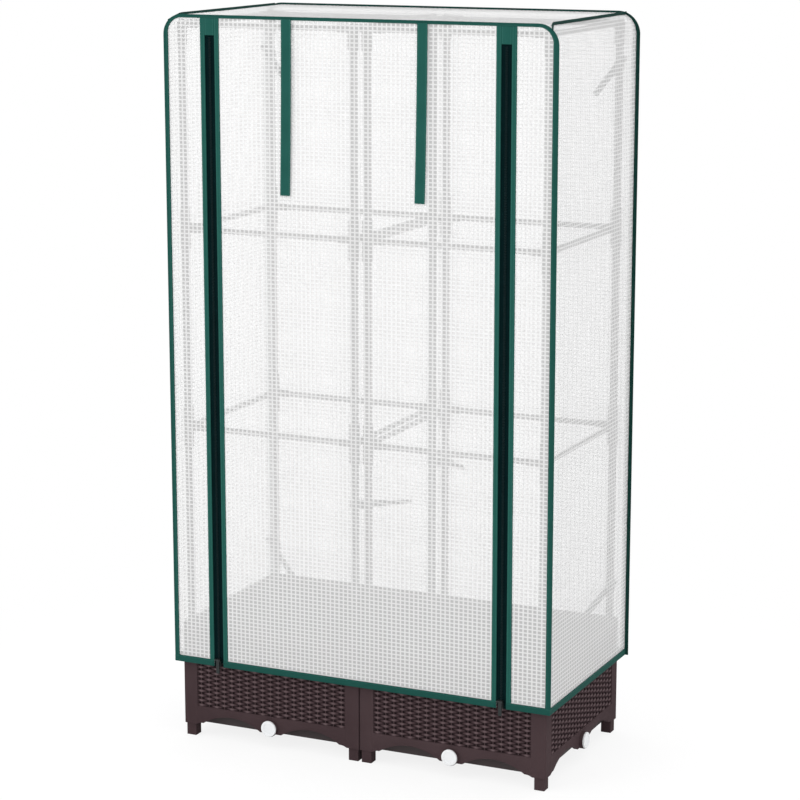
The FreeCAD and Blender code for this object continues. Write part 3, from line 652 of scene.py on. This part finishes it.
def planter_panels():
    """Four panels for each box, the inner ones without a drain."""
    weave = woven_field()
    plain = joined("plain_panel", panel_frame(False), copied(weave, "plain_weave", Matrix()))
    drained = joined("drained_panel", panel_frame(True), weave)
    for side, sign in (("left", -1), ("right", 1)):
        for face, pattern, turn in (("front", drained, 0), ("back", drained, 180),
                                    ("outer", drained, 90 * sign), ("inner", plain, -90 * sign)):
            placing = (Matrix.Translation((sign * BOX_MID, 0, 0))
                       @ Matrix.Rotation(math.radians(turn), 4, "Z"))
            panel = copied(pattern, f"{side}_{face}_woven_panel", placing)
            settle(panel, None, "planter", "planter_brown", f"{side}_{face}_panel")
    for pattern in (plain, drained):
        bpy.data.objects.remove(pattern)


planter_panels()


# The cover's film: single sheets, slack by a millimetre or two between their bound edges.
FILM_INSET, ROOF_SAG = 0.0004, 0.003
WALL_ROWS, SIDE_COLUMNS, SIDE_ROWS, ROOF_COLUMNS, ROOF_ROWS = 120, 40, 128, 140, 40


def top_at(x):
    """Height of the cover's outline at a distance from the middle."""
    over = max(0.0, abs(x) - SHOULDER_X)
    return SHOULDER_Z + math.sqrt(max(0.0, SHOULDER ** 2 - over ** 2))


def slack(u, v, seed, reach):
    """Billow of a sheet held at its edges; u and v run from 0 to 1."""
    held = (1 - (2 * u - 1) ** 6) * (1 - (2 * v - 1) ** 10)
    drift = noise.noise(Vector((2.2 * u, 3.4 * v, seed)))
    crease = noise.noise(Vector((9 * u + 3 * v, 2.5 * v, seed + 7)))
    return reach * held * (drift + 0.3 * crease)


def wall(name, left, right, y, across, seed, reach):
    """An upright sheet between two x places, facing front or back, topped by the outline."""
    out = -1 if y < 0 else 1

    def place(i, j):
        u, v = i / across, j / WALL_ROWS
        x = left + (right - left) * u
        z = HEM + (top_at(x) - HEM) * v
        return Vector((x, y + out * (slack(u, v, seed, reach) - FILM_INSET), z)), (x, z)

    return squares(name, across, WALL_ROWS, place)


def side_wall(name, sign):
    """An upright side and its shoulder up to the seam."""
    upright = SHOULDER_Z - HEM

    def place(i, j):
        u, v = i / SIDE_COLUMNS, j / SIDE_ROWS
        run = SIDE_RUN * v
        y = sign * (FRONT + DEEP * u)
        billow = slack(u, v, 5 + sign, 0.0016) - FILM_INSET
        if run <= upright:
            point = Vector((sign * (HALF_WIDE + billow), y, HEM + run))
        else:
            angle = (run - upright) / SHOULDER
            reach = SHOULDER + billow
            point = Vector((sign * (SHOULDER_X + reach * math.cos(angle)), y,
                            SHOULDER_Z + reach * math.sin(angle)))
        return point, (y, HEM + run)

    return squares(name, SIDE_COLUMNS, SIDE_ROWS, place)


def roof(name):
    """The top and both shoulders up to the seams, sagging a little between them."""

    def place(i, j):
        u, v = i / ROOF_COLUMNS, j / ROOF_ROWS
        run = ROOF_RUN * (u - 0.5)
        y = FRONT + DEEP * v
        dip = ROOF_SAG * (1 - (2 * v - 1) ** 2) * (1 - (2 * u - 1) ** 8)
        sag = slack(u, v, 11, 0.0022) - dip - FILM_INSET
        if abs(run) <= SHOULDER_X:
            point = Vector((run, y, TOP + sag))
        else:
            angle = (abs(run) - SHOULDER_X) / SHOULDER
            reach = SHOULDER + sag
            point = Vector((math.copysign(SHOULDER_X + reach * math.sin(angle), run), y,
                            SHOULDER_Z + reach * math.cos(angle)))
        return point, (run, y)

    return squares(name, ROOF_COLUMNS, ROOF_ROWS, place)


film = {
    "cover_front_left": wall("front_left_film", -HALF_WIDE, -ZIP_OUT, FRONT, 14, 1, 0.0008),
    "cover_front_right": wall("front_right_film", ZIP_OUT, HALF_WIDE, FRONT, 14, 2, 0.0008),
    "door_panel": wall("door_film", -ZIP_IN, ZIP_IN, FRONT, 60, 3, 0.0020),
    "cover_back": wall("back_film", HALF_WIDE, -HALF_WIDE, BACK, 80, 4, 0.0022),
    "cover_left": side_wall("left_film", -1),
    "cover_right": side_wall("right_film", 1),
    "cover_top": roof("top_film"),
}
for node, sheet in film.items():
    smoothed(sheet, 60)
    settle(sheet, FILM_FINISH, "cover", "grid_film", node)


# Green tapes over the cover's seams and hems.


def outline_path(low):
    """Up the left side from low, over both shoulders and down the right: point, outward, depth."""
    path = [(Vector((-HALF_WIDE, 0, z)), LEFT, INWARD) for z in steps(low, SHOULDER_Z, 60)[:-1]]
    for middle, start in ((-SHOULDER_X, 180), (SHOULDER_X, 90)):
        for degrees in steps(start, start - 90, 14):
            out = Vector((math.cos(math.radians(degrees)), 0, math.sin(math.radians(degrees))))
            path.append((Vector((middle, 0, SHOULDER_Z)) + SHOULDER * out, out, INWARD))
        if start == 180:
            path += [(Vector((x, 0, TOP)), UP, INWARD)
                     for x in steps(-SHOULDER_X, SHOULDER_X, 40)[1:-1]]
    path += [(Vector((HALF_WIDE, 0, z)), RIGHT, INWARD) for z in steps(SHOULDER_Z, low, 60)[1:]]
    return path


def spread(path, side, top):
    """Stretches a path's outward direction by one share at the sides and another at the top."""
    return [(point, out * (side - (side - top) * out.z), deep) for point, out, deep in path]


def corner_tape(name):
    """Tape folded over the front seam: a flat on the front and a wrap on the sides and top."""
    proud = TAPE_PROUD
    flat = [(a, TAPE_FACE, a + BINDING) for a in steps(-BINDING, proud - TURN, 4)]
    turn = [(proud - TURN + TURN * math.sin(t), TAPE_FACE + TURN * (1 - math.cos(t)), BINDING)
            for t in (math.pi / 6, math.pi / 3)]
    wrap = [(proud, TAPE_FACE + b, max(0.0, WRAP + proud - b))
            for b in steps(TURN, WRAP + proud, 4)]
    path = spread(outline_path(HEM_TOP), side=1.22, top=0.75)
    return swept(name, path, flat + turn + wrap, proud - 0.0002)


def standing_tape(name):
    """Tape folded over the back seam, which stands out from sides and top; drawn at the front."""
    fold = TAPE_PROUD / 2
    flat = [(a, TAPE_FACE, a + BINDING) for a in steps(-BINDING, BACK_FIN - fold, 6)]
    turn = [(BACK_FIN - fold + fold * math.sin(t), TAPE_FACE + fold * (1 - math.cos(t)), BACK_FIN)
            for t in steps(0.0, math.pi, 4)[1:-1]]
    behind = [(a, FRONT, max(0.0, a)) for a in steps(BACK_FIN - fold, 0.0003, 4)]
    over_hem, run_out = 0.0005 * OUTWARD, 0.02
    path = [(point + over_hem * (1 - min(1.0, max(0.0, (point.z - HEM_TOP) / run_out))), out, deep)
            for point, out, deep in spread(outline_path(TAPE_LOW), side=1.12, top=0.55)]
    return swept(name, path, flat + turn + behind, fold - 0.0001)


def shoulder_seam(name, sign):
    """The bound seam along a shoulder: a fold of tape on edge, lower where it meets the front."""
    path = []
    for y in steps(TAPE_FACE, BACK, 60):
        back = min(1.0, (y - TAPE_FACE) / 0.030)
        lean = SEAM_ANGLE_FRONT + (SEAM_ANGLE - SEAM_ANGLE_FRONT) * back
        out = Vector((sign * math.sin(lean), 0, math.cos(lean)))
        aside = out.cross(INWARD)
        wave = 0.0006 * noise.noise(Vector((sign, 14 * y, 0)))
        seam = Vector((sign * SHOULDER_X, y, SHOULDER_Z)) + SHOULDER * out
        path.append((seam + wave * aside, aside, (0.35 + 0.65 * back) * out))
    fold = FIN_THICK / 2
    up = [(-fold, b, b) for b in steps(0.0, SHOULDER_FIN - fold, 4)]
    turn = [(-fold * math.cos(t), SHOULDER_FIN - fold + fold * math.sin(t), SHOULDER_FIN)
            for t in steps(0.0, math.pi, 6)[1:-1]]
    down = [(fold, b, b) for b in steps(SHOULDER_FIN - fold, 0.0, 4)]
    return swept(name, path, up + turn + down, fold - 0.0001)


def upright_tape(name, x, low, high, wide):
    """A tape up the front, sewn along both edges, which turn down to the film."""
    half, proud = wide / 2, TAPE_PROUD
    edge = [(half, -0.0004, 0), (half, proud - 0.0006, 0), (half - 0.0008, proud, 0.0008)]
    section = [(-a, b, sewn) for a, b, sewn in edge] + [(0, proud, half)] + edge[::-1]
    path = [(Vector((x, FRONT, z)), LEFT, OUTWARD) for z in steps(low, high, TAPE_STEPS)]
    return swept(name, path, section, proud - 0.0003)


def hem_path(points):
    """A level path round the cover at the hem; corners are mitred."""
    return [(Vector((x, y, HEM)), Vector((*out, 0)), UP) for x, y, out in points]


def hem_points():
    """Round the cover from the left zip to the right one: x, y and the way out."""
    across = [(x, FRONT, (0, -1)) for x in steps(-ZIP_OUT, -HALF_WIDE, 10)[:-1]]
    left = [(-HALF_WIDE, y, (-1, 0)) for y in steps(FRONT, BACK, 36)[1:-1]]
    behind = [(x, BACK, (0, 1)) for x in steps(-HALF_WIDE, HALF_WIDE, 70)[1:-1]]
    right = [(HALF_WIDE, y, (1, 0)) for y in steps(BACK, FRONT, 36)[1:-1]]
    last = [(x, FRONT, (0, -1)) for x in steps(HALF_WIDE, ZIP_OUT, 10)[1:]]
    return (across + [(-HALF_WIDE, FRONT, (-1, -1))] + left + [(-HALF_WIDE, BACK, (-1, 1))]
            + behind + [(HALF_WIDE, BACK, (1, 1))] + right + [(HALF_WIDE, FRONT, (1, -1))] + last)


def hem_section():
    """Tape folded under the film's edge: outside from top to bottom, then up the inside."""
    tall, proud, ease, low, inner = HEM_TOP - HEM, TAPE_PROUD, 0.0006, 0.0002, -0.0014
    outside = [(proud, tall - d, d) for d in (0, 0.0007, 0.004, 0.007, 0.010, tall - TURN)]
    under = [(proud - ease, low, tall), (-ease, low, tall)]
    inside = [(inner, d, max(0, tall - d)) for d in (TURN, 0.007, tall)]
    return outside + under + inside


def green(tape, body, *nodes, finish=GREEN_FINISH):
    """Settles a green tape on its body."""
    return settle(tape, finish, body, "green_webbing", *nodes)


# The front edge and hem tapes carry a little painted shade, the back and shoulder seams a lot.
front_tape = green(corner_tape("front_edge_tape"), "cover", "front_binding", finish=SHADED_EDGE_FINISH)
back_tape = standing_tape("back_edge_tape")
back_tape.data.transform(Matrix.Rotation(math.pi, 4, "Z"))
green(back_tape, "cover", "back_binding", finish=SHADED_SEAM_FINISH)
seams = [shoulder_seam("shoulder_tape", sign) for sign in (-1, 1)]
shoulder_tape = green(joined("shoulder_tapes", *seams), "cover", "shoulder_bindings",
                      finish=SHADED_SEAM_FINISH)
HEM_THICK = 0.0007
hem_tape = green(swept("hem_tape", hem_path(hem_points()), hem_section(), HEM_THICK),
                 "cover", "hem_binding", finish=SHADED_EDGE_FINISH)
door_points = [(x, FRONT, (0, -1)) for x in steps(ZIP_IN, -ZIP_IN, 60)]
door_hem_tape = green(swept("door_hem_tape", hem_path(door_points), hem_section(), HEM_THICK),
                      "door", "door_hem", finish=SHADED_EDGE_FINISH)

edge_tapes, door_tapes = [], []
for sign in (-1, 1):
    edge_tapes.append(upright_tape("edge_tape", sign * (ZIP_OUT + ZIP_EDGE) / 2, HEM_TOP,
                                   BINDING_LOW, ZIP_EDGE - ZIP_OUT))
    edge_tapes.append(upright_tape("tab", sign * ZIP_MID, ZIP_TOP, BINDING_LOW, ZIP_OUT - ZIP_IN))
    door_tapes.append(upright_tape("door_tape", sign * (ZIP_IN + DOOR_EDGE) / 2, HEM_TOP,
                                   BINDING_LOW, ZIP_IN - DOOR_EDGE))
zip_edge_tape = green(joined("zip_edge_tapes", *edge_tapes), "cover", "zip_bindings")
door_edge_tape = green(joined("door_edge_tapes", *door_tapes), "cover", "door_bindings")


# Zips: woven tapes with a coil of teeth on each facing edge.
ZIP_GAP, ZIP_LAP, ZIP_THICK = 0.00005, 0.006, 0.0007
TOOTH_PITCH, TOOTH_LONG, TOOTH_HIGH, TOOTH_DEEP = 0.0030, 0.0030, 0.0009, 0.0011
TOOTH_IN = 0.0011


def zip_half(name, sign, outer, low):
    """One half of a zip: sign picks the left or right zip, outer its fixed half."""
    away = sign if outer else -sign
    far = (ZIP_OUT - ZIP_IN) / 2 + ZIP_LAP
    half = (far - ZIP_GAP) / 2
    x, y = sign * ZIP_MID + away * (ZIP_GAP + half), TAPE_BACK - 0.0008
    path = [(Vector((x, y, z)), LEFT, OUTWARD) for z in steps(low, ZIP_TOP, TAPE_STEPS)]
    tape = swept(name, path, [(a, 0, a) for a in steps(-half, half, 4)], ZIP_THICK)
    tape.data.materials.append(ZIP_FINISH.material)
    first = low + TOOTH_PITCH * (1.0 if outer else 0.5)
    tooth = add("cylinder", "tooth", vertices=6, radius=1, depth=TOOTH_LONG,
                sides=(TOOTH_HIGH, TOOTH_DEEP, 1), rotation=(0, math.pi / 2, 0),
                location=(sign * ZIP_MID + away * TOOTH_IN, COIL_FACE + TOOTH_DEEP, first))
    pick(tooth, "FACE", lambda face: abs(face.normal.x) > 0.9)
    bpy.ops.mesh.bevel(offset=0.0003, segments=1, affect="EDGES")
    leave_edit()
    repeated(tooth, int((ZIP_TOP - low) / TOOTH_PITCH) - 1, (0, 0, TOOTH_PITCH))
    smoothed(tooth, 50)
    tooth.data.materials.append(COIL_FINISH.material)
    return joined(name, tape, tooth)


halves = [zip_half("fixed_zip", sign, True, TAPE_LOW) for sign in (-1, 1)]
fixed_zips = joined("fixed_zip_halves", *halves)
settle(fixed_zips, None, "cover", "zip_tape", "cover_zip_tapes")
halves = [zip_half("door_zip", sign, False, ZIP_LOW) for sign in (-1, 1)]
door_zips = joined("door_zip_halves", *halves)
settle(door_zips, None, "cover", "zip_tape", "door_zip_tapes")

# The door rolls up in use; here its film, edge tapes and zip halves only get meshes of their own.
door_joint = next(joint for joint in frame["record"]["behaviour"]["joints"]
                  if joint["name"] == "door_lift")
for piece, low in ((film["door_panel"], HEM), (door_edge_tape, HEM_TOP), (door_zips, ZIP_LOW)):
    1 - door_joint["range_m"][1] / (TOP - low)
    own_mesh(piece)


# Roll-up straps on the door, hung from the top seam.


def roll_up_strap(side):
    """A strap sewn in a small curl at the top seam, hanging a little aslant."""
    low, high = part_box(f"{side}_strap")
    middle, wide = (low.x + high.x) / 2, high.x - low.x
    face, top = high.y - 0.0002, high.z - 0.0012
    curl, stand, lean, bow, hem = 0.0010, 0.0011, -0.005, 0.0010, 0.003
    drop = high.z - low.z - 0.004
    rolled = [(Vector((middle, face - stand + curl * math.cos(t), top + curl * math.sin(t))),
               RIGHT, Vector((0, math.cos(t), math.sin(t)))) for t in steps(0.0, math.pi, 6)]
    hang = [(Vector((middle + lean * v * v, face - stand - curl - bow * math.sin(math.pi * v),
                     top - drop * v)), RIGHT, OUTWARD) for v in steps(0.0, 1.0, 60)[1:]]
    half = wide / 2
    section = [(-half, 0, 0), (-half + hem, 0.0001, hem), (0, 0.0002, half),
               (half - hem, 0.0001, hem), (half, 0, 0)]
    strap = swept(f"{side}_roll_up_strap", rolled + hang, section, 0.0009)
    settle(strap, GREEN_FINISH, f"{side}_strap", "green_webbing", f"{side}_strap")


for side in ("left", "right"):
    roll_up_strap(side)


# Ties of grey strap round the trellis posts.
TIE_WIDE, TIE_THICK = 0.014, 0.0011
RIM_TIE, TOP_TIE = 0.310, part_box("corner_ties")[1].z - 0.0266
CENTRE_TIE = sum(corner.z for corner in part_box("centre_ties")) / 2
GAP = BOX_MID - POST
BAND = [(a, 0, TIE_WIDE / 2 - abs(a)) for a in steps(-TIE_WIDE / 2, TIE_WIDE / 2, 4)]


def tie_loop(name, middle, reach):
    """A band round one post, or round two posts that stand reach either side of the middle."""
    radius = TUBE + 0.0004 + TIE_THICK
    path = []
    for degrees in steps(-90, 270, 48):
        out = Vector((math.cos(math.radians(degrees)), math.sin(math.radians(degrees)), 0))
        shift = reach if -90 <= degrees < 90 else -reach
        path.append((middle + Vector((shift, 0, 0)) + radius * out, UP, out))
    path.append((path[0][0], UP, path[0][2]))
    return swept(name, path, BAND, TIE_THICK)


def tie_tail(name, start, end, taper, face):
    """A loose end between two points, curling a little; face is the way its flat looks."""
    aside = face.cross((end - start).normalized())
    path = [(start.lerp(end, v) + face * (0.004 * math.sin(2.6 * v) * v), aside * (1 - taper * v),
             face) for v in steps(0.0, 1.0, 24)]
    return swept(name, path, BAND, TIE_THICK)


def corner_ties():
    """A loop, a knot and a drooping tail at the rim and near the top of each back corner post."""
    parts = []
    droop, before, long, taper = math.radians(52), 0.024, 0.098, 0.15
    for sign in (-1, 1):
        for z in (RIM_TIE, TOP_TIE):
            post = Vector((sign * (BOX_MID + POST), POST, z))
            parts.append(tie_loop("loop", post, 0))
            run = Vector((-sign * math.cos(droop), 0, -math.sin(droop)))
            start = post - before * run + 0.0105 * OUTWARD
            parts.append(tie_tail("tail", start, start + long * run, taper, OUTWARD))
            knot = tie_loop("knot", Vector(), 0)
            knot.data.transform(Matrix.Translation(post + 0.0098 * OUTWARD)
                                @ Matrix.Rotation(-sign * droop, 4, "Y")
                                @ Matrix.Rotation(math.pi / 2, 4, "Y")
                                @ Matrix.Diagonal((0.62, 0.28, 0.8, 1)))
            parts.append(knot)
    return joined("corner_tie_straps", *parts)


def centre_ties():
    """A loop round the two middle posts, with a tail, at the front and at the back."""
    parts = []
    tuck, stand, taper = 0.004, 0.0022, 0.55
    for y, lift, reach, rise in ((-POST, 0.004, 0.092, 0.014), (POST, 0.010, 0.046, -0.012)):
        middle = Vector((0, y, CENTRE_TIE + lift))
        parts.append(tie_loop("loop", middle, GAP))
        start = middle + Vector((GAP - tuck, TUBE + stand, 0))
        parts.append(tie_tail("tail", start, start + Vector((reach, 0, rise)), taper, INWARD))
    return joined("centre_tie_straps", *parts)


settle(corner_ties(), TIE_FINISH, "planter", "tie_webbing", "corner_ties")
settle(centre_ties(), TIE_FINISH, "planter", "tie_webbing", "centre_ties")


# Finishes for the model's own rigid pieces, by the ends of their names.
rigid = {"corner_posts": RAIL_FINISH, "water_tray": TRAY_FINISH, "soil_grid": GRID_FINISH,
         "plug": PLUG_FINISH, "tubes": TUBE_FINISH, "bars": TUBE_FINISH, "connectors": JOINT_FINISH,
         "slider": METAL_FINISH, "pull": METAL_FINISH}
for name, node in frame["nodes"].items():
    for ending, finish in rigid.items():
        if name.endswith(ending):
            for slot in node.material_slots:
                slot.material = finish.material


# Floor, light and camera.
WHITE = shade(1, 1, 1)
SKY_LIGHT, KEY_WATTS = 1.24, 42
LENS, PITCH, HEADING = 112.7, math.radians(11.92), math.radians(24.86)


def seen_straight(nodes):
    """One for rays from the camera, from a reflection or through glass; light itself is zero."""
    rays = [nodes.node("LightPath", out=kind) for kind in
            ("Is Camera Ray", "Is Glossy Ray", "Is Transmission Ray")]
    return rays[0].most(rays[1]).most(rays[2])


def pale_floor():
    """A matt pale floor that keeps the shadow near the object and is plain white further off."""
    finish = Finish("pale_floor", Roughness=0.9, Specular_IOR_Level=0.1)
    where = finish.place()
    far = finish.node("VectorMath", {0: where}, "Value", operation="LENGTH").ramp(0.45, 1.3)
    speck = finish.cloud(where, 300, 2)
    finish.feed({"Base Color": finish.mix(speck, shade(0.93, 0.93, 0.93), shade(0.95, 0.95, 0.95))})
    glow = finish.node("Emission", {"Color": WHITE, "Strength": 1.0})
    share = (0.84 + 0.16 * far) * seen_straight(finish)
    finish.put(finish.output, {"Surface": finish.node("MixShader", {
        0: share, 1: finish.body(), 2: glow})})
    return finish


floor = add("circle", "floor", vertices=128, radius=60, fill_type="NGON")
floor.data.materials.append(pale_floor().material)

world = bpy.data.worlds.new("studio")
world.use_nodes = True
bpy.context.scene.world = world
sky = Nodes(world.node_tree)
source = sky.tree.nodes["Background"]
sky.put(source, {"Color": WHITE, "Strength": SKY_LIGHT})
shown = sky.node("Background", {"Color": WHITE, "Strength": 1.0})
sky.put(sky.tree.nodes["World Output"], {"Surface": sky.node("MixShader", {
    0: seen_straight(sky), 1: Wire(sky, source.outputs[0]), 2: shown})})

key = bpy.data.objects.new("key", bpy.data.lights.new("key", "AREA"))
key.data.shape, key.data.size, key.data.energy = "DISK", 2.4, KEY_WATTS
key.location = (-2.4, -3.8, 3.4)
key.rotation_euler = (Vector((0, 0, 0.7)) - key.location).to_track_quat("-Z", "Y").to_euler()
bpy.context.collection.objects.link(key)

camera = bpy.data.objects.new("camera", bpy.data.cameras.new("camera"))
camera.data.sensor_width, camera.data.lens = 36, LENS
camera.location = (2.0777, -4.4898, 1.7486)
camera.rotation_euler = (math.pi / 2 - PITCH, 0, HEADING)
camera.data.clip_end = 200
bpy.context.collection.objects.link(camera)
bpy.context.scene.camera = camera
bpy.context.scene.view_settings.view_transform = "Standard"

begin()
